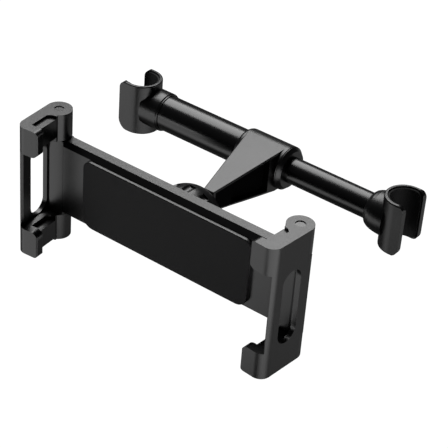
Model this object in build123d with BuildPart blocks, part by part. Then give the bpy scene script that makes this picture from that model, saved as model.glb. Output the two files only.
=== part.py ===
"""Headrest tablet mount: a sprung bar between two headrest posts carries a folding-claw tablet holder.

Millimetres. +X runs along the bar, +Y points away from the passenger towards the headrest, +Z is up.
The shapes are drawn from a point midway between the two claw pins, at half the claws' height. Each written
piece is moved so that the origin lies on the left post's axis, at half the height of the hook around it.
"""

from build123d import *
import math
import os

# Holder plate
PIN_X = 75.0            # claw hinge pins stand at +-PIN_X when the slides are closed
PLATE_HALF_T = 4.1
PLATE_HALF_H = 22.3
PLATE_BEVEL = (2.4, 0.5)    # sloped edges along the plate's top and bottom: front, back
HOUSING_END = 68.3      # the covers end here, the slides' end blocks follow
SEAM = 0.15
INSIDE_Y = 2.5          # the covers are hollow between -INSIDE_Y and +INSIDE_Y
PAD_X = 53.0
PAD_Z = (-20.0, 19.5)
PAD_T = 2.1

# Slides, rack and pinion
SLIDE_Y = (0.1, 2.4)    # the rear slide's sheet; the front slide's is its mirror image
SLIDE_HALF_H = 15.8
SLIDE_TIP = 60.0        # inner end of a closed slide, past the middle
SLIDE_END = 4.8         # a slide's end block reaches this far past the claw's pin
SLIDE_END_R = 2.7
MODULE = 1.0
PRESSURE_ANGLE = 25.0
PINION_TEETH = 14
PINION_R = MODULE * PINION_TEETH / 2
PINION_BORE_R = 1.6
RACK_TEETH = range(-2, 16)
SPRING_Z = 17.7
SPRING_R = 1.25
SPRING_WIRE_R = 0.3
LUG_X = 15.0
ANCHOR_X = 57.0

# Claws, in the claw's own plan: u outwards, v backwards, from the pin
TOE_IN = 4.6            # degrees that each claw leans inwards
KNUCKLE_R = 6.9
CLAW_HALF_H = 37.9
ARM_INNER_Z = 22.7      # arms and knuckles fill ARM_INNER_Z to CLAW_HALF_H
CLAW_FRONT = -26.6
CLAW_CORNER_R = 5.6
WALL_IN = 4.3           # inner face of the thin outer wall
WALL_BACK = 2.4
WALL_EDGE = 45          # the wall's front edge lies this far round the corner, in degrees from the front
SCOOP_R = 5.5           # the wall is scooped around the slide's end block
ARM_IN = -3.7
LIP_IN = -7.0
LIP_BACK = -21.4
LIP_LOW_R = 4.0         # rounding of the lip's tip, on the side facing the other arm
LIP_TOP_R = 2.4
GRIP_U = 0.7
GRIP_V = (-21.4, -9.0)
GRIP_DROP = (2.5, 1.5)  # the grip stops short of the pocket's inner and outer end
WINDOW_V = -10.9
WINDOW_Z = -1.0
WINDOW_W = 13.2
WINDOW_H = 42.0
PIN_R = 2.0
PIN_HEAD_R = 2.5
PIN_HEAD_T = 1.2

# Ball joint
BALL_Y = 16.5
BALL_R = 7.8
NECK_R = 2.6
CUP_R = (7.86, 9.0)
SOCKET_R = 9.06
COLLAR_R = 12.4
COLLAR_END = 15.6
NUT_CENTRE_Y = 12.0
NUT_R = 17.6
NUT_Y = (5.6, 27.0)
NUT_LOBES = 12

# Telescopic bar
BAR_Y = 85.6
TUBE_R = 10.0
TUBE_IN_R = 8.8
ROD_R = 7.2
ROD_IN_R = 6.2
TUBE_X = (-79.0, 10.4)
ROD_X = (-6.0, 69.5)
SLEEVE_R = 12.2
SLEEVE_X = (-19.1, 10.4)
BUSH_X = (10.5, 12.7)

# Arm between the ball and the bar
ARM_TIP_Y = 29.6
ARM_TIP_X = (-3.2, 3.4)
ARM_ROOT_X = (-17.0, 8.9)
ARM_SLOPE = 0.0749      # the top face rises towards the bar and runs into the sleeve
ARM_UNDER = ((78, -11.6), (60, -8.6), (43.5, -5.6), (38, -4.7), (ARM_TIP_Y, -3.9))
ARM_POCKET_Y = (43.5, 71.5)
ARM_POCKET_DEPTH = 3.2
ARM_RIM = 1.5

# Hooks
HOOK_R = 11.2
HOOK_IN_R = 9.6
LINER_R = 8.4
HOOK_HALF_H = 15.1
HOOK_EDGE_R = 0.8
PRONG_TOP_R = 4.0
LINER_INSET = 0.9
LEFT_HOOK_X = -90.6
LEFT_PRONGS = (7.1, 5.3)    # reach past the post's centre, in front of the post and behind it
LEFT_PRONG_R = 6.8          # rounding of the prongs' lower corners
RIGHT_HOOK_X = 82.2
RIGHT_PRONGS = (5.3, 5.6)
RIGHT_PRONG_R = 5.0

os.makedirs("parts", exist_ok=True)


def write(builder, name):
    """Move a finished piece to the origin at the left post, label it and write its STEP file."""
    piece = builder.part.moved(Location((-LEFT_HOOK_X, -BAR_Y, 0)))
    piece.label = name
    export_step(piece, f"parts/{name}.step")


# Holder covers

SCREW_POINTS = [(x, z) for x in (-65.2, 65.2) for z in (-18.9, 18.9)]


def plate_section(side):
    """Closed (y, z) corners of the front (-1) or back (+1) half of the plate's bevelled section."""
    t, h = PLATE_HALF_T * side, PLATE_HALF_H
    b = PLATE_BEVEL[0] if side < 0 else PLATE_BEVEL[1]
    inner = t - b * side
    return [(0, h), (inner, h), (t, h - b), (t, b - h), (inner, -h), (0, -h)]


def hollow(side):
    """Cut one cover's share of the slide space and of the two spring channels."""
    with Locations((0, side * INSIDE_Y / 2, 0)):
        Box(2 * HOUSING_END + 4, INSIDE_Y, 2 * SLIDE_HALF_H + 0.4, mode=Mode.SUBTRACT)
    with Locations((0, side * INSIDE_Y / 2, SPRING_Z), (0, side * INSIDE_Y / 2, -SPRING_Z)):
        Box(124, INSIDE_Y, 3.8, mode=Mode.SUBTRACT)


def spring_anchor(side):
    """Rib with a hole for the spring's leg, across the channel of the spring that this cover holds."""
    with Locations((side * ANCHOR_X, side * INSIDE_Y / 2, side * SPRING_Z)):
        Box(2, INSIDE_Y, 3.8)
    with BuildSketch(Plane.YZ.offset(side * ANCHOR_X - 1.5)) as hole:
        with Locations((side * SPRING_R, side * SPRING_Z)):
            Circle(SPRING_WIRE_R + 0.1)
    extrude(hole.sketch, amount=3, mode=Mode.SUBTRACT)


with BuildPart() as front_cover:
    with BuildSketch(Plane.YZ.offset(-HOUSING_END)):
        with BuildLine():
            Polyline(*plate_section(-1), close=True)
        make_face()
    extrude(amount=2 * HOUSING_END)
    hollow(-1)
    spring_anchor(-1)
    with BuildSketch(Plane.XZ):
        with Locations(*SCREW_POINTS):
            Circle(0.8)
    extrude(amount=2.8, mode=Mode.SUBTRACT)
    # post that the pinion turns on
    with BuildSketch(Plane.XZ.offset(INSIDE_Y + 0.2)):
        Circle(PINION_BORE_R - 0.06)
    extrude(amount=-(INSIDE_Y + 0.2 + 1.9))
write(front_cover, "front_cover")

with BuildPart() as back_cover:
    with BuildSketch(Plane.YZ.offset(-HOUSING_END)):
        with BuildLine():
            Polyline(*plate_section(1), close=True)
        make_face()
    extrude(amount=2 * HOUSING_END)
    hollow(1)
    spring_anchor(1)
    # threaded collar with the ball's socket
    with BuildSketch(Plane.XY):
        with BuildLine():
            Polyline((0, INSIDE_Y + 0.2), (COLLAR_R + 1.6, INSIDE_Y + 0.2), (COLLAR_R + 1.6, PLATE_HALF_T),
                     (COLLAR_R, PLATE_HALF_T + 1.2), (COLLAR_R, COLLAR_END - 0.5),
                     (COLLAR_R - 0.5, COLLAR_END), (0, COLLAR_END), close=True)
        make_face()
    revolve(axis=Axis.Y)
    with Locations((0, BALL_Y, 0)):
        Sphere(SOCKET_R, mode=Mode.SUBTRACT)
    with BuildSketch(Plane.XZ.offset(-PLATE_HALF_T)):
        with Locations(*SCREW_POINTS):
            Circle(1.95)
    extrude(amount=1.7, mode=Mode.SUBTRACT)
    with BuildSketch(Plane.XZ.offset(-PLATE_HALF_T)):
        with Locations(*SCREW_POINTS):
            Circle(1.1)
    extrude(amount=PLATE_HALF_T + 0.1, mode=Mode.SUBTRACT)
write(back_cover, "back_cover")

with BuildPart() as cover_screws:
    with BuildSketch(Plane.XZ.offset(-PLATE_HALF_T + 0.3)):
        with Locations(*SCREW_POINTS):
            Circle(1.8)
    extrude(amount=1.4)
    with BuildSketch(Plane.XZ.offset(-PLATE_HALF_T + 1.6)):
        with Locations(*SCREW_POINTS):
            Circle(0.75)
    extrude(amount=4.6)
    with BuildSketch(Plane.XZ.offset(-PLATE_HALF_T + 0.3)):
        with Locations(*SCREW_POINTS):
            Rectangle(2.2, 0.5)
            Rectangle(0.5, 2.2)
    extrude(amount=0.7, mode=Mode.SUBTRACT)
write(cover_screws, "cover_screws")

with BuildPart() as front_pad:
    with BuildSketch(Plane.XZ.offset(PLATE_HALF_T)):
        with BuildLine():
            Polyline((-PAD_X, PAD_Z[0]), (PAD_X, PAD_Z[0]), (PAD_X, PAD_Z[1]), (-PAD_X, PAD_Z[1]), close=True)
        make_face()
        fillet(vertices().group_by(Axis.Y)[0], 7)
        fillet(vertices().group_by(Axis.Y)[-1], 4.5)
    extrude(amount=PAD_T)
    chamfer(faces().sort_by(Axis.Y)[0].edges(), 0.35)
write(front_pad, "front_pad")


# Slides

def rack_tooth(x):
    """Corners of one rack tooth centred at x, its tip towards the pinion."""
    lean = math.tan(math.radians(PRESSURE_ANGLE)) * MODULE
    half = math.pi * MODULE / 4 - 0.08
    root = PINION_R + 1.4 * MODULE
    tip = PINION_R - MODULE
    return [(x - half - 1.4 * lean, root), (x - half + lean, tip), (x + half - lean, tip),
            (x + half + 1.4 * lean, root)]


def slide(side):
    """Sheet with a toothed slot, a spring lug and the end block that carries a claw's pin."""
    # the left slide's sheet runs behind the right slide's, with its rack above the pinion
    up = -side
    thick = SLIDE_Y[1] - SLIDE_Y[0]
    # second axis of the sheet's plane: from the pinion towards the slide's own rack
    sheet = Plane(origin=(0, SLIDE_Y[1] * up, 0), x_dir=(1, 0, 0), z_dir=(0, -up, 0))
    end_x = side * (HOUSING_END + SEAM + 1.5)
    tip_x = -side * SLIDE_TIP
    lug_x = (side * (LUG_X + 1), side * (LUG_X - 1))
    lug_z = SPRING_Z + 1.6
    root = PINION_R + 1.2 * MODULE
    clear = -(PINION_R + 1.7 * MODULE)
    with BuildPart() as piece:
        with BuildSketch(sheet):
            with BuildLine():
                Polyline((end_x, -SLIDE_HALF_H), (end_x, SLIDE_HALF_H), (lug_x[0], SLIDE_HALF_H),
                         (lug_x[0], lug_z), (lug_x[1], lug_z), (lug_x[1], SLIDE_HALF_H),
                         (tip_x, SLIDE_HALF_H), (tip_x, -SLIDE_HALF_H), close=True)
            make_face()
            with BuildLine():
                Polyline((side * 9, root), (-side * 51.5, root), (-side * 51.5, clear), (side * 9, clear),
                         close=True)
            make_face(mode=Mode.SUBTRACT)
            for k in RACK_TEETH:
                with BuildLine():
                    Polyline(*rack_tooth(-side * k * math.pi * MODULE), close=True)
                make_face()
        extrude(amount=thick)
        # end block, rounded where the claw's wall swings past it
        with BuildSketch(Plane.XY.offset(-PLATE_HALF_H)) as block:
            near = side * (HOUSING_END + SEAM)
            far = side * (PIN_X + SLIDE_END)
            with BuildLine():
                Polyline((near, -PLATE_HALF_T), (far, -PLATE_HALF_T), (far, PLATE_HALF_T), (near, PLATE_HALF_T),
                         close=True)
            make_face()
            fillet(block.vertices().sort_by_distance((far, 0, 0))[0:2], SLIDE_END_R)
        extrude(amount=2 * PLATE_HALF_H)
        with BuildSketch(Plane.XY.offset(-PLATE_HALF_H)):
            with Locations((side * PIN_X, 0)):
                Circle(PIN_R + 0.05)
        extrude(amount=2 * PLATE_HALF_H, mode=Mode.SUBTRACT)
        with BuildSketch(Plane.YZ.offset(side * LUG_X - 1.5)):
            with Locations((up * SPRING_R, up * SPRING_Z)):
                Circle(SPRING_WIRE_R + 0.1)
        extrude(amount=3, mode=Mode.SUBTRACT)
    return piece


left_slide = slide(-1)
write(left_slide, "left_slide")
right_slide = slide(1)
write(right_slide, "right_slide")


# Pinion

def gear_outline(teeth, module, pressure, backlash):
    """Closed (x, y) points of an involute spur gear with a tooth gap centred on +y."""
    pitch_r = teeth * module / 2
    base_r = pitch_r * math.cos(math.radians(pressure))
    tip_r = pitch_r + module
    root_r = pitch_r - 1.15 * module
    half = math.pi / (2 * teeth) - backlash / pitch_r
    inv_pitch = math.tan(math.radians(pressure)) - math.radians(pressure)
    points = []
    for tooth in range(teeth):
        middle = math.pi / 2 + (tooth + 0.5) * 2 * math.pi / teeth
        flank = [(root_r, half + inv_pitch)]
        for step in range(6):
            r = base_r + (tip_r - base_r) * step / 5
            angle = math.acos(base_r / r)
            flank.append((r, half + inv_pitch - (math.tan(angle) - angle)))
        points += [(r * math.cos(middle - a), r * math.sin(middle - a)) for r, a in flank]
        points += [(r * math.cos(middle + a), r * math.sin(middle + a)) for r, a in reversed(flank)]
    return points


with BuildPart() as pinion:
    with BuildSketch(Plane.XZ.offset(-2.3)):
        with BuildLine():
            Polyline(*gear_outline(PINION_TEETH, MODULE, PRESSURE_ANGLE, 0.06), close=True)
        make_face()
        Circle(PINION_BORE_R, mode=Mode.SUBTRACT)
    extrude(amount=4.6)
write(pinion, "pinion")


# Return springs of the slides

def slide_spring(side):
    """Tension coil between a slide's lug and the far end of its channel, with a straight leg each end."""
    up = -side
    start_x = side * (LUG_X - 2.0)
    length = LUG_X - 2.0 + ANCHOR_X - 2.0
    turns = 20
    coil_plane = Plane(origin=(start_x, 0, up * SPRING_Z), x_dir=(0, up, 0), z_dir=(-side, 0, 0))
    path = coil_plane.location * Helix(length / turns, length, SPRING_R)
    with BuildPart() as piece:
        with BuildSketch(Plane(origin=path @ 0, z_dir=path % 0)):
            RegularPolygon(SPRING_WIRE_R, 6)
        sweep(path=path, is_frenet=True)
        for end, reach in ((path @ 0, side), (path @ 1, -side)):
            with BuildSketch(Plane(origin=(end.X - 0.2 * reach, end.Y, end.Z), z_dir=(reach, 0, 0))):
                RegularPolygon(SPRING_WIRE_R, 6)
            extrude(amount=3.4)
    return piece


left_spring = slide_spring(-1)
write(left_spring, "left_spring")
right_spring = slide_spring(1)
write(right_spring, "right_spring")


# Claws

def claw_plan(side, z):
    """Sketch plane at a claw's pin: first axis outwards times side, second axis backwards."""
    turn = math.radians(-side * TOE_IN)
    return Plane(origin=(side * PIN_X, 0, z), x_dir=(math.cos(turn), math.sin(turn), 0), z_dir=(0, 0, 1))


def claw_front(side, v):
    """Sketch plane across a claw: first axis outwards times side, second axis up."""
    turn = math.radians(-side * TOE_IN)
    back = (-math.sin(turn), math.cos(turn))
    return Plane(origin=(side * PIN_X + v * back[0], v * back[1], 0),
                 x_dir=(math.cos(turn), math.sin(turn), 0), z_dir=(-back[0], -back[1], 0))


def claw_side(side, u):
    """Sketch plane along a claw: first axis backwards, second axis up, normal outwards times side."""
    turn = math.radians(-side * TOE_IN)
    out = (math.cos(turn), math.sin(turn))
    return Plane(origin=(side * (PIN_X + u * out[0]), side * u * out[1], 0),
                 x_dir=(-out[1], out[0], 0), z_dir=(out[0], out[1], 0))


def corner_point(side, angle):
    """Plan point on the arms' rounded outer corner, at an angle from the front."""
    turn = math.radians(angle)
    u = KNUCKLE_R - CLAW_CORNER_R + CLAW_CORNER_R * math.sin(turn)
    return (side * u, CLAW_FRONT + CLAW_CORNER_R - CLAW_CORNER_R * math.cos(turn))


def grip_outline(side, gap):
    """Plan corners of a grip's pocket, or of the grip itself with a gap to the pocket's ends."""
    corners = [(ARM_IN - 0.1, GRIP_V[1] + 2.0 - gap), (-1.1, GRIP_V[1] + 1.4 - gap), (GRIP_U, GRIP_V[1] - gap),
               (GRIP_U, GRIP_V[0] + gap), (ARM_IN - 0.1, GRIP_V[0] + gap)]
    return [(side * u, v) for u, v in corners]


def corner_arc(u, z, toward, r):
    """Start, middle and end of the arc that rounds a lip's tip at (u, z)."""
    cut = r * (1 - math.sqrt(0.5))
    return [(u, z + toward * r), (u + cut, z + toward * cut), (u + r, z)]


def corner_shave(u, z, toward, r):
    """Open outline around the material that the rounding takes away, a little larger than the lip."""
    over = 0.2
    return [(u + r, z), (u + r, z - toward * over), (u - over, z - toward * over), (u - over, z + toward * r),
            (u, z + toward * r)]


def claw(side):
    """J-shaped claw: two arms with lips and knuckles, joined by a thin outer wall with a long window."""
    arm_h = CLAW_HALF_H - ARM_INNER_Z
    with BuildPart() as piece:
        # arms and lips
        for low in (ARM_INNER_Z, -CLAW_HALF_H):
            with BuildSketch(claw_plan(side, low)) as plan:
                with BuildLine():
                    Polyline(*[(side * u, v) for u, v in (
                        (ARM_IN, 0), (KNUCKLE_R, 0), (KNUCKLE_R, CLAW_FRONT), (LIP_IN, CLAW_FRONT),
                        (LIP_IN, LIP_BACK), (ARM_IN, LIP_BACK))], close=True)
                make_face()
                corner = plan.vertices().sort_by_distance((side * KNUCKLE_R, CLAW_FRONT, 0))[0:1]
                fillet(corner, CLAW_CORNER_R)
                tips = plan.vertices().sort_by_distance((side * LIP_IN, (CLAW_FRONT + LIP_BACK) / 2, 0))[0:2]
                fillet(tips, 0.9)
                Circle(KNUCKLE_R)
            extrude(amount=arm_h)
        # outer wall, its front edge on the arms' rounded corners
        with BuildSketch(claw_plan(side, -ARM_INNER_Z - 0.5)) as wall:
            edge = corner_point(side, WALL_EDGE)
            with BuildLine():
                Line((side * KNUCKLE_R, WALL_BACK), corner_point(side, 90))
                ThreePointArc(corner_point(side, 90), corner_point(side, 70), edge)
                Polyline(edge, (side * WALL_IN, edge[1] + 1.5), (side * WALL_IN, WALL_BACK),
                         (side * KNUCKLE_R, WALL_BACK))
            make_face()
            fillet(wall.vertices().sort_by_distance((*edge, 0))[0:1], 0.4)
        extrude(amount=2 * ARM_INNER_Z + 1)
        with BuildSketch(claw_plan(side, -ARM_INNER_Z)):
            Circle(SCOOP_R)
        extrude(amount=2 * ARM_INNER_Z, mode=Mode.SUBTRACT)
        # window
        with BuildSketch(claw_side(side, WALL_IN - 0.6)):
            with Locations((WINDOW_V, WINDOW_Z)):
                SlotOverall(WINDOW_H, WINDOW_W, rotation=90)
        extrude(amount=side * 5, mode=Mode.SUBTRACT)
        # pockets for the grips, pin hole with counterbores
        for low in (ARM_INNER_Z, -CLAW_HALF_H):
            with BuildSketch(claw_plan(side, low)):
                with BuildLine():
                    Polyline(*grip_outline(side, 0), close=True)
                make_face()
            extrude(amount=arm_h, mode=Mode.SUBTRACT)
        with BuildSketch(claw_plan(side, -CLAW_HALF_H)):
            Circle(PIN_R)
        extrude(amount=2 * CLAW_HALF_H, mode=Mode.SUBTRACT)
        for low in (CLAW_HALF_H - PIN_HEAD_T, -CLAW_HALF_H):
            with BuildSketch(claw_plan(side, low)):
                Circle(PIN_HEAD_R + 0.1)
            extrude(amount=PIN_HEAD_T, mode=Mode.SUBTRACT)
        # lips rounded at their tips, seen from the front
        with BuildSketch(claw_front(side, CLAW_FRONT - 0.1)):
            for half in (1, -1):
                for z, toward, r in ((ARM_INNER_Z, 1, LIP_LOW_R), (CLAW_HALF_H, -1, LIP_TOP_R)):
                    with BuildLine():
                        shave = corner_shave(LIP_IN, z, toward, r)
                        Polyline(*[(side * u, half * w) for u, w in shave])
                        ThreePointArc(*[(side * u, half * w) for u, w in corner_arc(LIP_IN, z, toward, r)])
                    make_face()
        extrude(amount=-(LIP_BACK - CLAW_FRONT + 0.1), mode=Mode.SUBTRACT)
    return piece


def grip(side, top):
    """Rubber insert of one claw arm, a little shorter than its pocket."""
    low = ARM_INNER_Z + GRIP_DROP[0] if top else -CLAW_HALF_H + GRIP_DROP[1]
    with BuildPart() as piece:
        with BuildSketch(claw_plan(side, low)):
            with BuildLine():
                Polyline(*grip_outline(side, 0.3), close=True)
            make_face()
        extrude(amount=CLAW_HALF_H - ARM_INNER_Z - sum(GRIP_DROP))
    return piece


def claw_pin(side):
    """Pin from knuckle to knuckle through the slide's barrel, with a flat head at each end."""
    with BuildPart() as piece:
        with Locations((side * PIN_X, 0, 0)):
            Cylinder(PIN_R, 2 * CLAW_HALF_H - PIN_HEAD_T)
        for z in (CLAW_HALF_H - PIN_HEAD_T / 2 - 0.2, -CLAW_HALF_H + PIN_HEAD_T / 2 + 0.2):
            with Locations((side * PIN_X, 0, z)):
                Cylinder(PIN_HEAD_R, PIN_HEAD_T - 0.5)
    return piece


for side, hand in ((-1, "left"), (1, "right")):
    write(claw(side), f"{hand}_claw")
    write(claw_pin(side), f"{hand}_claw_pin")
    write(grip(side, True), f"{hand}_upper_grip")
    write(grip(side, False), f"{hand}_lower_grip")


# Ball joint

with BuildPart() as ball_stud:
    with Locations((0, BALL_Y, 0)):
        Sphere(BALL_R)
    with BuildSketch(Plane.XZ.offset(-BALL_Y - 3)):
        Circle(NECK_R)
    extrude(amount=-(ARM_TIP_Y - BALL_Y - 3))
    with BuildSketch(Plane.XZ.offset(-ARM_TIP_Y + 0.1)):
        Circle(2.2)
    extrude(amount=-12)
write(ball_stud, "ball_stud")

with BuildPart() as seat_cup:
    with Locations((0, BALL_Y, 0)):
        Sphere(CUP_R[1])
        Sphere(CUP_R[0], mode=Mode.SUBTRACT)
    with Locations((0, BALL_Y + 5 + 5, 0)):
        Box(20, 10, 20, mode=Mode.SUBTRACT)
    with Locations((0, BALL_Y - 12.5, 0)):
        Box(20, 10, 20, mode=Mode.SUBTRACT)
    with Locations((0, BALL_Y + 5, 0)):
        Box(0.8, 9, 20, mode=Mode.SUBTRACT)
write(seat_cup, "seat_cup")


def dome(y):
    """Outer radius of the lock nut at y."""
    return math.sqrt(NUT_R ** 2 - (y - NUT_CENTRE_Y) ** 2)


with BuildPart() as lock_nut:
    with BuildSketch(Plane.XY):
        with BuildLine():
            mouth_r = dome(NUT_Y[1])
            throat_y = BALL_Y + 6.26
            throat_r = math.sqrt(SOCKET_R ** 2 - 6.26 ** 2)
            ring_y = COLLAR_END + 0.7
            Line((COLLAR_R + 0.08, NUT_Y[0]), (dome(NUT_Y[0]) - 0.8, NUT_Y[0]))
            Line((dome(NUT_Y[0]) - 0.8, NUT_Y[0]), (dome(NUT_Y[0] + 0.8), NUT_Y[0] + 0.8))
            ThreePointArc((dome(NUT_Y[0] + 0.8), NUT_Y[0] + 0.8), (dome(17), 17), (mouth_r, NUT_Y[1]))
            Line((mouth_r, NUT_Y[1]), (8.7, NUT_Y[1]))
            Line((8.7, NUT_Y[1]), (throat_r, throat_y))
            ThreePointArc((throat_r, throat_y), (math.sqrt(SOCKET_R ** 2 - 9), BALL_Y + 3),
                          (SOCKET_R, BALL_Y))
            Polyline((SOCKET_R, BALL_Y), (SOCKET_R, ring_y), (COLLAR_R + 0.08, ring_y),
                     (COLLAR_R + 0.08, NUT_Y[0]))
        make_face()
    revolve(axis=Axis.Y)
    with BuildSketch(Plane.XZ.offset(-NUT_Y[0] + 0.5)):
        with PolarLocations(19.6, NUT_LOBES):
            Circle(3.4)
    extrude(amount=-11, mode=Mode.SUBTRACT)
write(lock_nut, "lock_nut")


# Arm bracket

BAR_AXIS = Axis((0, BAR_Y, 0), (1, 0, 0))
TILT = math.atan(ARM_SLOPE)
TANGENT = (BAR_Y - SLEEVE_R * math.sin(TILT), SLEEVE_R * math.cos(TILT))


def arm_top(y):
    """Height of the arm's top face."""
    return TANGENT[1] + (y - TANGENT[0]) * ARM_SLOPE


def arm_side(end, y):
    """Left (0) or right (1) side of the arm in plan."""
    return ARM_TIP_X[end] + (ARM_ROOT_X[end] - ARM_TIP_X[end]) * (y - ARM_TIP_Y) / (BAR_Y - ARM_TIP_Y)


def arm_pocket(end):
    """Recess in one side of the arm, with a rim above, below and at both ends."""
    out = 2 * end - 1
    first, last = ARM_POCKET_Y
    with BuildPart() as tool:
        with BuildSketch(Plane.XY.offset(-14)):
            with BuildLine():
                Polyline((arm_side(end, first) - out * ARM_POCKET_DEPTH, first), (out * 30, first),
                         (out * 30, last), (arm_side(end, last) - out * ARM_POCKET_DEPTH, last), close=True)
            make_face()
        extrude(amount=28)
        with BuildSketch(Plane.YZ) as view:
            with BuildLine():
                Polyline((first, arm_top(first) - ARM_RIM), (last, arm_top(last) - ARM_RIM),
                         (last, -10.7 + ARM_RIM), *[(y, z + ARM_RIM) for y, z in ARM_UNDER[1:3]], close=True)
            make_face()
            fillet(view.vertices(), 1.2)
        extrude(amount=40, both=True, mode=Mode.INTERSECT)
    return tool


with BuildPart() as arm_bracket:
    with BuildSketch(Plane.XY.offset(-14)):
        with BuildLine():
            Polyline((ARM_TIP_X[1], ARM_TIP_Y), (ARM_ROOT_X[1], BAR_Y), (ARM_ROOT_X[0], BAR_Y),
                     (ARM_TIP_X[0], ARM_TIP_Y), close=True)
        make_face()
    extrude(amount=28)
    with BuildSketch(Plane.YZ):
        with BuildLine():
            Polyline((ARM_TIP_Y, arm_top(ARM_TIP_Y)), TANGENT, (TANGENT[0], -11), *ARM_UNDER, close=True)
        make_face()
    extrude(amount=30, both=True, mode=Mode.INTERSECT)
    fillet(faces().sort_by(Axis.Z)[-1].edges().sort_by(Axis.Y)[:-1], 0.7)
    for end in (0, 1):
        add(arm_pocket(end).part, mode=Mode.SUBTRACT)
    with BuildSketch(Plane.XY):
        with BuildLine():
            Line((SLEEVE_X[0], BAR_Y), (SLEEVE_X[0], BAR_Y + SLEEVE_R - 3))
            RadiusArc((SLEEVE_X[0], BAR_Y + SLEEVE_R - 3), (SLEEVE_X[0] + 3, BAR_Y + SLEEVE_R), 3)
            Polyline((SLEEVE_X[0] + 3, BAR_Y + SLEEVE_R), (SLEEVE_X[1] - 0.4, BAR_Y + SLEEVE_R),
                     (SLEEVE_X[1], BAR_Y + SLEEVE_R - 0.4), (SLEEVE_X[1], BAR_Y), (SLEEVE_X[0], BAR_Y))
        make_face()
    revolve(axis=BAR_AXIS)
    with BuildSketch(Plane.YZ.offset(SLEEVE_X[0] - 5)):
        with Locations((BAR_Y, 0)):
            Circle(TUBE_R + 0.05)
    extrude(amount=60, mode=Mode.SUBTRACT)
    # threaded holes for the ball stud and the set screw
    with BuildSketch(Plane.XZ.offset(-ARM_TIP_Y + 1)):
        Circle(2.25)
    extrude(amount=-14.5, mode=Mode.SUBTRACT)
    with BuildSketch(Plane.XZ.offset(-BAR_Y - 5)):
        with Locations((-7.5, 0)):
            Circle(1.95)
    extrude(amount=-12, mode=Mode.SUBTRACT)
write(arm_bracket, "arm_bracket")

with BuildPart() as arm_screw:
    with BuildSketch(Plane.XZ.offset(-BAR_Y - TUBE_R)):
        with Locations((-7.5, 0)):
            Circle(1.9)
    extrude(amount=-1.9)
    with BuildSketch(Plane.XZ.offset(-BAR_Y - TUBE_R - 1.9)):
        with Locations((-7.5, 0)):
            RegularPolygon(1.1, 6)
    extrude(amount=1.2, mode=Mode.SUBTRACT)
write(arm_screw, "arm_screw")


# Telescopic bar

def turned(points):
    """Revolve (x, radius) corners about the bar's axis."""
    with BuildPart() as piece:
        with BuildSketch(Plane.XY):
            with BuildLine():
                Polyline(*[(x, BAR_Y + r) for x, r in points], close=True)
            make_face()
        revolve(axis=BAR_AXIS)
    return piece


outer_tube = turned([(TUBE_X[0], TUBE_IN_R), (TUBE_X[0], TUBE_R), (TUBE_X[1], TUBE_R), (TUBE_X[1], TUBE_IN_R)])
write(outer_tube, "outer_tube")

inner_tube = turned([(ROD_X[0], ROD_IN_R), (ROD_X[0], ROD_R), (ROD_X[1], ROD_R), (ROD_X[1], ROD_IN_R)])
write(inner_tube, "inner_tube")

guide_bush = turned([
    (-6, ROD_R + 0.06), (-6, TUBE_IN_R - 0.03), (BUSH_X[0], TUBE_IN_R - 0.03), (BUSH_X[0], SLEEVE_R - 0.1),
    (BUSH_X[0] + 0.2, SLEEVE_R - 0.1), (BUSH_X[1] - 0.6, SLEEVE_R - 1.4), (BUSH_X[1], SLEEVE_R - 1.9),
    (BUSH_X[1], ROD_R + 0.06)])
write(guide_bush, "guide_bush")

piston = turned([
    (-11, 0), (-11, TUBE_IN_R - 0.06), (ROD_X[0] - 0.02, TUBE_IN_R - 0.06), (ROD_X[0] - 0.02, ROD_IN_R - 0.02),
    (4, ROD_IN_R - 0.02), (4, 0)])
write(piston, "piston")

coil_x = (-74.4, -11.6)
coil_turns = 11
coil_plane = Plane(origin=(coil_x[0], BAR_Y, 0), x_dir=(0, 0, 1), z_dir=(1, 0, 0))
bar_path = coil_plane.location * Helix((coil_x[1] - coil_x[0]) / coil_turns, coil_x[1] - coil_x[0], 7.4)

with BuildPart() as bar_spring:
    with BuildSketch(Plane(origin=bar_path @ 0, z_dir=bar_path % 0)):
        RegularPolygon(0.6, 6)
    sweep(path=bar_path, is_frenet=True)
write(bar_spring, "bar_spring")


# Hooks

def hook_limits(side, centre_x, prongs, low_r, inset):
    """Block around a hook, with prongs of unequal length whose tips are rounded seen from the front."""
    half = HOOK_HALF_H - inset
    back = centre_x - side * (HOOK_R + 1)
    with BuildPart() as block:
        for reach, toward in zip(prongs, (1, -1)):
            tip = centre_x + side * (reach - inset)
            with BuildSketch(Plane.XZ.offset(-BAR_Y)) as view:
                with BuildLine():
                    Polyline((back, -half), (tip, -half), (tip, half), (back, half), close=True)
                make_face()
                fillet(view.vertices().sort_by_distance((tip, -half, 0))[0:1], low_r)
                fillet(view.vertices().sort_by_distance((tip, half, 0))[0:1], PRONG_TOP_R)
            extrude(amount=20 * toward)
    return block


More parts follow.
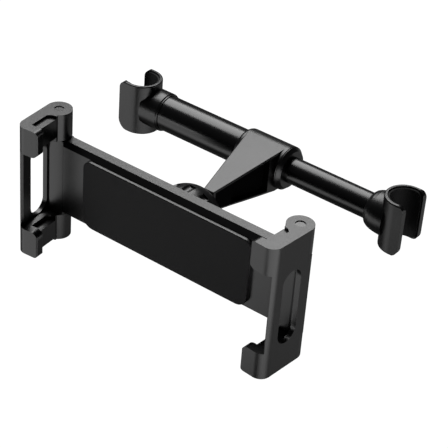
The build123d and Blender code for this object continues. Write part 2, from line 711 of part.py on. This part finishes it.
def hook(side, centre_x, prongs, low_r, collar):
    """C hook for a post along Z, with the collar that takes the tube's end."""
    end_x = centre_x + side * 12
    with BuildPart() as piece:
        with BuildSketch(Plane.XY.offset(-HOOK_HALF_H)):
            with BuildLine():
                Polyline((centre_x, BAR_Y - HOOK_R), (end_x, BAR_Y - HOOK_R), (end_x, BAR_Y + HOOK_R),
                         (centre_x, BAR_Y + HOOK_R))
                ThreePointArc((centre_x, BAR_Y + HOOK_R), (centre_x - side * HOOK_R, BAR_Y),
                              (centre_x, BAR_Y - HOOK_R))
            make_face()
        extrude(amount=2 * HOOK_HALF_H)
        for end in (0, -1):
            rim = faces().sort_by(Axis.Z)[end]
            fillet(rim.edges().sort_by_distance((end_x, BAR_Y, rim.center().Z))[1:], HOOK_EDGE_R)
        add(hook_limits(side, centre_x, prongs, low_r, 0).part, mode=Mode.INTERSECT)
        with BuildSketch(Plane.XY):
            with BuildLine():
                Polyline(*[(x, BAR_Y + r) for x, r in collar], close=True)
            make_face()
        revolve(axis=BAR_AXIS)
        with BuildSketch(Plane.XY.offset(-HOOK_HALF_H)):
            with Locations((centre_x, BAR_Y)):
                Circle(HOOK_IN_R)
        extrude(amount=2 * HOOK_HALF_H, mode=Mode.SUBTRACT)
    return piece


def hook_liner(side, centre_x, prongs, low_r):
    """Rubber lining bonded inside a hook."""
    with BuildPart() as piece:
        with BuildSketch(Plane.XY.offset(-HOOK_HALF_H)):
            with Locations((centre_x, BAR_Y)):
                Circle(HOOK_IN_R)
                Circle(LINER_R, mode=Mode.SUBTRACT)
        extrude(amount=2 * HOOK_HALF_H)
        add(hook_limits(side, centre_x, prongs, low_r, LINER_INSET).part, mode=Mode.INTERSECT)
    return piece


left_hook = hook(-1, LEFT_HOOK_X, LEFT_PRONGS, LEFT_PRONG_R, [
    (-84, 0), (-84, 11.0), (-72.6, 11.0), (-72.0, 10.5), (-71.4, 10.5), (-71.4, TUBE_R + 0.02),
    (TUBE_X[0] - 0.1, TUBE_R + 0.02), (TUBE_X[0] - 0.1, TUBE_IN_R - 0.1), (-75, TUBE_IN_R - 0.1), (-75, 0)])
write(left_hook, "left_hook")
right_hook = hook(1, RIGHT_HOOK_X, RIGHT_PRONGS, RIGHT_PRONG_R, [
    (76, 0), (76, 11.8), (74.0, 11.75), (70.2, 11.4), (67.9, 11.0), (66.0, 10.4), (64.5, 9.6), (63.5, 8.5),
    (63.3, ROD_R + 0.02), (ROD_X[1] + 0.1, ROD_R + 0.02), (ROD_X[1] + 0.1, 0)])
write(right_hook, "right_hook")
left_hook_liner = hook_liner(-1, LEFT_HOOK_X, LEFT_PRONGS, LEFT_PRONG_R)
write(left_hook_liner, "left_hook_liner")
right_hook_liner = hook_liner(1, RIGHT_HOOK_X, RIGHT_PRONGS, RIGHT_PRONG_R)
write(right_hook_liner, "right_hook_liner")
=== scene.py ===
"""Looks of a headrest tablet mount: satin plastic, matt rubber and coated steel on a pale studio floor."""

import math

import bpy
from mathutils import Matrix, Vector


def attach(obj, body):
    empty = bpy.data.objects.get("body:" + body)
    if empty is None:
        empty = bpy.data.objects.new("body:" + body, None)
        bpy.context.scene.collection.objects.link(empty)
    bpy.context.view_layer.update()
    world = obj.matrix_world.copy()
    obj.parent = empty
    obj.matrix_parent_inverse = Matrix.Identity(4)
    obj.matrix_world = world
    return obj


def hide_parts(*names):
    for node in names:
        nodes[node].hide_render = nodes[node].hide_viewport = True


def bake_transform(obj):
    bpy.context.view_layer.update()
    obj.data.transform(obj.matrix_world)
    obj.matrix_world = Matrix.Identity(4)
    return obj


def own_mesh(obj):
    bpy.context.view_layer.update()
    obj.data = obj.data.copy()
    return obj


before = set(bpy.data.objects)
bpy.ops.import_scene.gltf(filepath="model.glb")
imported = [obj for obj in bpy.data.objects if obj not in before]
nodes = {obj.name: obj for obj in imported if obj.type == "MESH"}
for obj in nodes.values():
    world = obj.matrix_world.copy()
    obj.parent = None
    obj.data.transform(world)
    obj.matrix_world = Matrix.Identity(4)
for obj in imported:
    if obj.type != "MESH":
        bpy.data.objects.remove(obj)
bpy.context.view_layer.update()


# Telescopic bar: a thin steel tube that slides in a thick one, both with a smooth black powder coat that
# dries with a faint orange peel. The claws' hinge pins and the arm's set screw have the same coat.

COAT_BLACK = (0.005, 0.005, 0.0054)
COAT_ROUGHNESS = 0.23
COAT_GRAIN = 0.12

GRAIN_SCALE = 2600.0
GRAIN_DEPTH = 0.00008
GRAIN_SWING = 0.08
FLOW_SCALE = 42.0
FLOW_SHARE, GRAIN_SHARE = 0.6, 0.4
POLISH_SCALE = 11.0
POLISH_SWING = 0.12
DARKER, LIGHTER = 0.75, 1.3
PLASTIC_IOR = 1.5


class Wire:
    """A shader socket that takes part in plain arithmetic, on either side of the sign."""

    def __init__(self, tree, socket):
        self.tree = tree
        self.socket = socket

    def _math(self, operation, first, second):
        node = self.tree.nodes.new("ShaderNodeMath")
        node.operation = operation
        for slot, value in zip(node.inputs, (first, second)):
            if isinstance(value, Wire):
                self.tree.links.new(value.socket, slot)
            else:
                slot.default_value = value
        return Wire(self.tree, node.outputs[0])

    def __add__(self, other):
        return self._math("ADD", self, other)

    def __radd__(self, other):
        return self._math("ADD", other, self)

    def __sub__(self, other):
        return self._math("SUBTRACT", self, other)

    def __rsub__(self, other):
        return self._math("SUBTRACT", other, self)

    def __mul__(self, other):
        return self._math("MULTIPLY", self, other)

    def __rmul__(self, other):
        return self._math("MULTIPLY", other, self)


class Finish:
    """A material with its node tree, its Principled shader and one way to add a node."""

    def __init__(self, name):
        self.material = bpy.data.materials.new(name)
        self.material.use_nodes = True
        self.tree = self.material.node_tree
        self.shader = self.tree.nodes["Principled BSDF"]

    def node(self, kind, settings=None, output=0, **sockets):
        """Add a node. in0, in1 and so on fill its sockets by number, any other word fills one by name."""
        made = self.tree.nodes.new(kind)
        for key, value in (settings or {}).items():
            setattr(made, key, value)
        for key, value in sockets.items():
            numbered = key[:2] == "in" and key[2:].isdigit()
            self.fill(made.inputs[int(key[2:]) if numbered else key.replace("_", " ")], value)
        return Wire(self.tree, made.outputs[output])

    def fill(self, slot, value):
        if isinstance(value, Wire):
            self.tree.links.new(value.socket, slot)
        else:
            slot.default_value = value

    def feed(self, name, value):
        """Give a socket of the Principled shader a value or a pattern."""
        self.fill(self.shader.inputs[name], value)

    def place(self):
        return self.node("ShaderNodeTexCoord", output=3)

    def along(self, axis):
        return self.node("ShaderNodeSeparateXYZ", output=axis, Vector=self.place())

    def noise(self, scale, detail=3.0, rough=0.6):
        return self.node("ShaderNodeTexNoise", Vector=self.place(), Scale=scale, Detail=detail, Roughness=rough)

    def bump(self, height, strength):
        return self.node("ShaderNodeBump", Height=height, Strength=strength, Distance=GRAIN_DEPTH)

    def blend(self, factor, first, second):
        """Mix two colours, given as red, green and blue."""
        return self.node("ShaderNodeMix", {"data_type": "RGBA"}, output=2,
                         in0=factor, in6=(*first, 1), in7=(*second, 1))

    def ramp(self, value, start, end, full=1.0, easing="LINEAR"):
        """Rise from nothing at start to full at end."""
        return self.node("ShaderNodeMapRange", {"clamp": True, "interpolation_type": easing},
                         in0=value, in1=start, in2=end, in3=0.0, in4=full)

    def cover(self, share, top):
        """Lay another shader over the Principled one, by a share from 0 to 1."""
        under = Wire(self.tree, self.shader.outputs[0])
        mixed = self.node("ShaderNodeMixShader", in0=share, in1=under, in2=top)
        self.fill(self.tree.nodes["Material Output"].inputs[0], mixed)


def grained(name, colour, roughness, grain):
    """A moulded or sprayed skin: fine grain, faint flow marks and a little polish where hands rub it."""
    finish = Finish(name)
    pits = finish.noise(GRAIN_SCALE)
    flow = finish.noise(FLOW_SCALE, detail=4.0)
    polish = finish.noise(POLISH_SCALE, rough=0.5)
    darker = [part * DARKER for part in colour]
    lighter = [part * LIGHTER for part in colour]
    finish.feed("Base Color", finish.blend(flow * FLOW_SHARE + pits * GRAIN_SHARE, darker, lighter))
    finish.feed("Roughness", roughness + (polish - 0.5) * POLISH_SWING + (pits - 0.5) * GRAIN_SWING)
    finish.feed("Normal", finish.bump(pits, grain))
    finish.feed("IOR", PLASTIC_IOR)
    return finish


def dress(finish, *names):
    """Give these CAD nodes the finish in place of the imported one."""
    for name in names:
        nodes[name].data.materials.clear()
        nodes[name].data.materials.append(finish.material)


coat = grained("powder_coat", COAT_BLACK, COAT_ROUGHNESS, COAT_GRAIN)
dress(coat, "outer_tube", "inner_tube", "left_claw_pin", "right_claw_pin", "arm_screw")


# Hooks and bush: the two open hooks take the headrest posts, and the bush guides the thin tube in the thick
# one's mouth. All are glass-filled nylon, moulded in a spark-eroded cavity and pressed on the tubes.

NYLON_BLACK = (0.004, 0.004, 0.0044)
NYLON_ROUGHNESS = 0.30
NYLON_GRAIN = 0.25

nylon = grained("black_nylon", NYLON_BLACK, NYLON_ROUGHNESS, NYLON_GRAIN)
dress(nylon, "left_hook", "right_hook", "guide_bush")


# Hook liners: sleeves of soft black rubber, glued into the hooks so that they grip the posts without
# scratching them. The rubber is matt and a little dusty.

RUBBER_BLACK = (0.010, 0.010, 0.0105)
RUBBER_ROUGHNESS = 0.62
RUBBER_GRAIN = 0.4
RUBBER_SHEEN = 0.16

rubber = grained("matt_rubber", RUBBER_BLACK, RUBBER_ROUGHNESS, RUBBER_GRAIN)
rubber.feed("Specular IOR Level", RUBBER_SHEEN)
dress(rubber, "left_hook_liner", "right_hook_liner")


# Arm: the same nylon as the hooks, moulded in one piece with its sleeve. Its recessed sides carry a painted
# shade, a dark, rough skin that hardly reflects, between a smooth rim along the top and another along the
# bottom.

SHADE_Y = (-0.0545, -0.0139)
RIM = 0.0010
TOP_SLOPE, TOP_AT_BAR = 0.0749, 0.0123
BASE_SLOPE, BASE_AT_BAR = -0.1667, -0.0129
ARM_DARK, ARM_LIGHT = (0.003, 0.003, 0.0033), (0.0052, 0.0052, 0.0056)
SHADE_ROUGHNESS = 0.8
SHADE_SHEEN = 0.02

arm = Finish("arm_nylon")
arm_pits = arm.noise(GRAIN_SCALE)
arm_polish = arm.noise(POLISH_SCALE, rough=0.5)
arm.feed("Base Color", arm.blend(arm_pits, ARM_DARK, ARM_LIGHT))
arm.feed("Roughness", NYLON_ROUGHNESS + (arm_polish - 0.5) * POLISH_SWING + (arm_pits - 0.5) * GRAIN_SWING)
arm.feed("Normal", arm.bump(arm_pits, NYLON_GRAIN))
# Painted shade: a dark, rough, nearly unreflecting skin that stands in for the shade inside the recessed sides.
painted_shade = arm.node("ShaderNodeBsdfPrincipled", Base_Color=(*ARM_DARK, 1), Roughness=SHADE_ROUGHNESS,
                  Specular_IOR_Level=SHADE_SHEEN)


def beyond(value, limit):
    """One where the value is greater than the limit, else nothing."""
    return arm.node("ShaderNodeMath", {"operation": "GREATER_THAN"}, in0=value, in1=limit)


# Where the painted shade lies: the side between the two rims, along the recess's length.
along_y, along_z = arm.along(1), arm.along(2)
below_top = (along_y * TOP_SLOPE + TOP_AT_BAR) - along_z
above_base = along_z - (along_y * BASE_SLOPE + BASE_AT_BAR)
shade_on_side = (beyond(below_top, RIM) * beyond(above_base, RIM)
           * beyond(along_y, SHADE_Y[0]) * beyond(SHADE_Y[1] - along_y, 0.0))
arm.cover(shade_on_side, painted_shade)
dress(arm, "arm_bracket")


# Ball joint: a turned steel ball on the arm's tip sits in a slippery acetal cup, and the lobed nylon nut
# presses the cup on it. The tube's plug and the slides' pinion are of the same natural acetal.

STEEL_DARK, STEEL_LIGHT = (0.42, 0.42, 0.43), (0.6, 0.6, 0.61)
STEEL_ROUGHNESS = 0.3
TURNING_SCALE = 900.0
TURNING_SWING = 0.15
ACETAL_CREAM = (0.5, 0.49, 0.45)
ACETAL_ROUGHNESS = 0.4
ACETAL_GRAIN = 0.1

steel = Finish("plain_steel")
turning = steel.noise(TURNING_SCALE)
steel.feed("Base Color", steel.blend(turning, STEEL_DARK, STEEL_LIGHT))
steel.feed("Metallic", 1.0)
steel.feed("Roughness", STEEL_ROUGHNESS + (turning - 0.5) * TURNING_SWING)
dress(steel, "ball_stud")

acetal = grained("natural_acetal", ACETAL_CREAM, ACETAL_ROUGHNESS, ACETAL_GRAIN)
dress(acetal, "seat_cup", "pinion", "piston")
dress(nylon, "lock_nut")


# Holder: a flat housing of two nylon covers, held by four steel screws, with a nylon slide running out of
# each end.

dress(nylon, "front_cover", "back_cover", "left_slide", "right_slide")
dress(steel, "cover_screws")


# Front pad: a sheet of dull black rubber, stuck to the front cover for the tablet to lean on. Its rim is
# smooth from the mould and shines like the plastic.

PAD_FRONT_Y = -0.0918
RIM_STARTS, RIM_FULL = 0.0001, 0.0004
RIM_SHINE = 0.8
RIM_ROUGHNESS = 0.3
PAD_DARK, PAD_LIGHT = (0.007, 0.007, 0.0075), (0.012, 0.012, 0.0125)
WEAR_SCALE = 16.0
WEAR_SWING = 0.1

pad = Finish("pad_rubber")
pad_grain = pad.noise(GRAIN_SCALE)
pad_wear = pad.noise(WEAR_SCALE, rough=0.5)
pad.feed("Base Color", pad.blend(pad_wear, PAD_DARK, PAD_LIGHT))
pad.feed("Roughness", RUBBER_ROUGHNESS + (pad_wear - 0.5) * WEAR_SWING)
pad.feed("Specular IOR Level", RUBBER_SHEEN)
pad.feed("Normal", pad.bump(pad_grain, RUBBER_GRAIN))
pad.feed("Coat Weight", pad.ramp(pad.along(1), PAD_FRONT_Y + RIM_STARTS, PAD_FRONT_Y + RIM_FULL, RIM_SHINE))
pad.feed("Coat Roughness", RIM_ROUGHNESS)
dress(pad, "front_pad")


# Claws: nylon frames that fold on the pins at the slides' ends, each with an insert pressed into its upper
# and its lower arm. The inserts shine as the claws do.

dress(nylon, "left_claw", "right_claw")
dress(nylon, "left_upper_grip", "left_lower_grip", "right_upper_grip", "right_lower_grip")


# Springs: coils of plain steel wire. In the mount the thin tube's plug presses the bar's coil together, and the
# slides draw out the two thin coils in the holder. Each is drawn as a copy of the CAD coil; the bar's copy
# rides with the bar, and the two thin ones stay where they are.

SAME_POINT = 0.000001


def spring_copy(name):
    """A copy of a CAD spring with its doubled points merged, shown in its place while the CAD node is hidden.
    """
    packed = nodes[name]
    spring = bpy.data.objects.new(name + "_coil", packed.data.copy())
    spring.matrix_world = packed.matrix_world
    bpy.context.scene.collection.objects.link(spring)
    bpy.ops.object.select_all(action="DESELECT")
    spring.select_set(True)
    bpy.context.view_layer.objects.active = spring
    bpy.ops.object.mode_set(mode="EDIT")
    bpy.ops.mesh.select_all(action="SELECT")
    bpy.ops.mesh.remove_doubles(threshold=SAME_POINT)
    bpy.ops.object.mode_set(mode="OBJECT")
    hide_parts(name)
    return spring


dress(steel, "left_spring", "right_spring", "bar_spring")
bar_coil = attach(spring_copy("bar_spring"), "bar")
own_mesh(bar_coil)
for name, slide in (("left_spring", "left_carriage"), ("right_spring", "right_carriage")):
    coil = spring_copy(name)
    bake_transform(coil)


# Studio: a wide pale floor under the mount in a dark room, with one large soft box high at the back left. The
# floor is plain to the eye, but to reflected rays it glows in painted bright patches, brighter towards the
# front left and the right, that show in the mount's faces as painted reflections.

MIDDLE = Vector((0.09, -0.05, 0))
FLOOR_Z = -0.36
FLOOR_WIDTH = 30
FLOOR_GREY = (0.85, 0.85, 0.85, 1)
FLOOR_ROUGHNESS = 0.9
FLOOR_GLOW = 1.1
GLOW_SHARE = 0.9
FRONT_LEFT_GLOW, RIGHT_GLOW, BACK_GLOW = 1.5, 3.0, 0.29
LEFT_EDGE, FRONT_EDGE = (-160, 0.24, 0.34), (-90, 0.15, 0.33)
RIGHT_EDGE, BACK_EDGE = (-38, 0.41, 0.51), (35, 0.28, 0.42)
ROOM_LIGHT = 0.03
BOX_TOWARDS = Vector((-0.4745, 0.393, 0.7877))
BOX_DISTANCE = 1.6
BOX_SIZE = (1.5, 1.06)
BOX_WATTS = 29

bpy.ops.object.select_all(action="DESELECT")
bpy.ops.mesh.primitive_plane_add(size=FLOOR_WIDTH, location=(MIDDLE.x, MIDDLE.y, FLOOR_Z))
floor = bpy.context.object
floor.name = "studio_floor"
paper = Finish("pale_floor")
camera_ray = paper.node("ShaderNodeLightPath", output=0)
glossy_ray = paper.node("ShaderNodeLightPath", output=3)


def edge(direction, start, full):
    """Brightness that rises across the floor in a direction in degrees, from start to full in metres."""
    turn = math.radians(direction)
    reach = paper.along(0) * math.cos(turn) + paper.along(1) * math.sin(turn)
    return paper.ramp(reach, start, full, easing="SMOOTHSTEP")


# Painted reflection: glowing patches on the floor that only reflected rays see.
painted_reflection = (edge(*LEFT_EDGE) * edge(*FRONT_EDGE) * FRONT_LEFT_GLOW
            + edge(*RIGHT_EDGE) * RIGHT_GLOW + edge(*BACK_EDGE) * BACK_GLOW)
paper.feed("Base Color", FLOOR_GREY)
paper.feed("Roughness", FLOOR_ROUGHNESS)
glow = paper.node("ShaderNodeEmission", Color=camera_ray * FLOOR_GLOW + (1 - camera_ray) * painted_reflection)
paper.cover(GLOW_SHARE * (camera_ray + glossy_ray), glow)
floor.data.materials.append(paper.material)

world = bpy.data.worlds.new("studio_room")
bpy.context.scene.world = world
world.use_nodes = True
room = world.node_tree
room_light = room.nodes["Background"]
camera_sees = Wire(room, room.nodes.new("ShaderNodeLightPath").outputs["Is Camera Ray"])
room.links.new((camera_sees + (1 - camera_sees) * ROOM_LIGHT).socket, room_light.inputs["Strength"])
room_light.inputs["Color"].default_value = (1, 1, 1, 1)

lamp = bpy.data.lights.new("back_box", "AREA")
lamp.shape = "RECTANGLE"
lamp.size, lamp.size_y = BOX_SIZE
lamp.energy = BOX_WATTS
soft_box = bpy.data.objects.new("back_box", lamp)
soft_box.location = MIDDLE + BOX_TOWARDS.normalized() * BOX_DISTANCE
soft_box.rotation_euler = (MIDDLE - soft_box.location).to_track_quat("-Z", "Y").to_euler()
bpy.context.scene.collection.objects.link(soft_box)


# Camera: a long lens, held slightly rolled, looking down on the mount from the passenger's side and from
# the right.

CAMERA_AT = Vector((0.4955, -0.6173, 0.4599))
AZIMUTH = math.radians(35.046)
ELEVATION = math.radians(34.270)
ROLL = math.radians(4.590)
LENS_MM = 131.34
SENSOR_MM = 36

back = Vector((math.sin(AZIMUTH) * math.cos(ELEVATION), -math.cos(AZIMUTH) * math.cos(ELEVATION),
               math.sin(ELEVATION)))
level_right = Vector((math.cos(AZIMUTH), math.sin(AZIMUTH), 0))
level_up = back.cross(level_right)
right = level_right * math.cos(ROLL) + level_up * math.sin(ROLL)
up = level_up * math.cos(ROLL) - level_right * math.sin(ROLL)
lens = bpy.data.cameras.new("studio_lens")
lens.lens = LENS_MM
lens.sensor_width = SENSOR_MM
camera = bpy.data.objects.new("studio_camera", lens)
bpy.context.scene.collection.objects.link(camera)
camera.matrix_world = Matrix.Translation(CAMERA_AT) @ Matrix((right, up, back)).transposed().to_4x4()
bpy.context.scene.camera = camera
bpy.context.scene.view_settings.view_transform = "Standard"
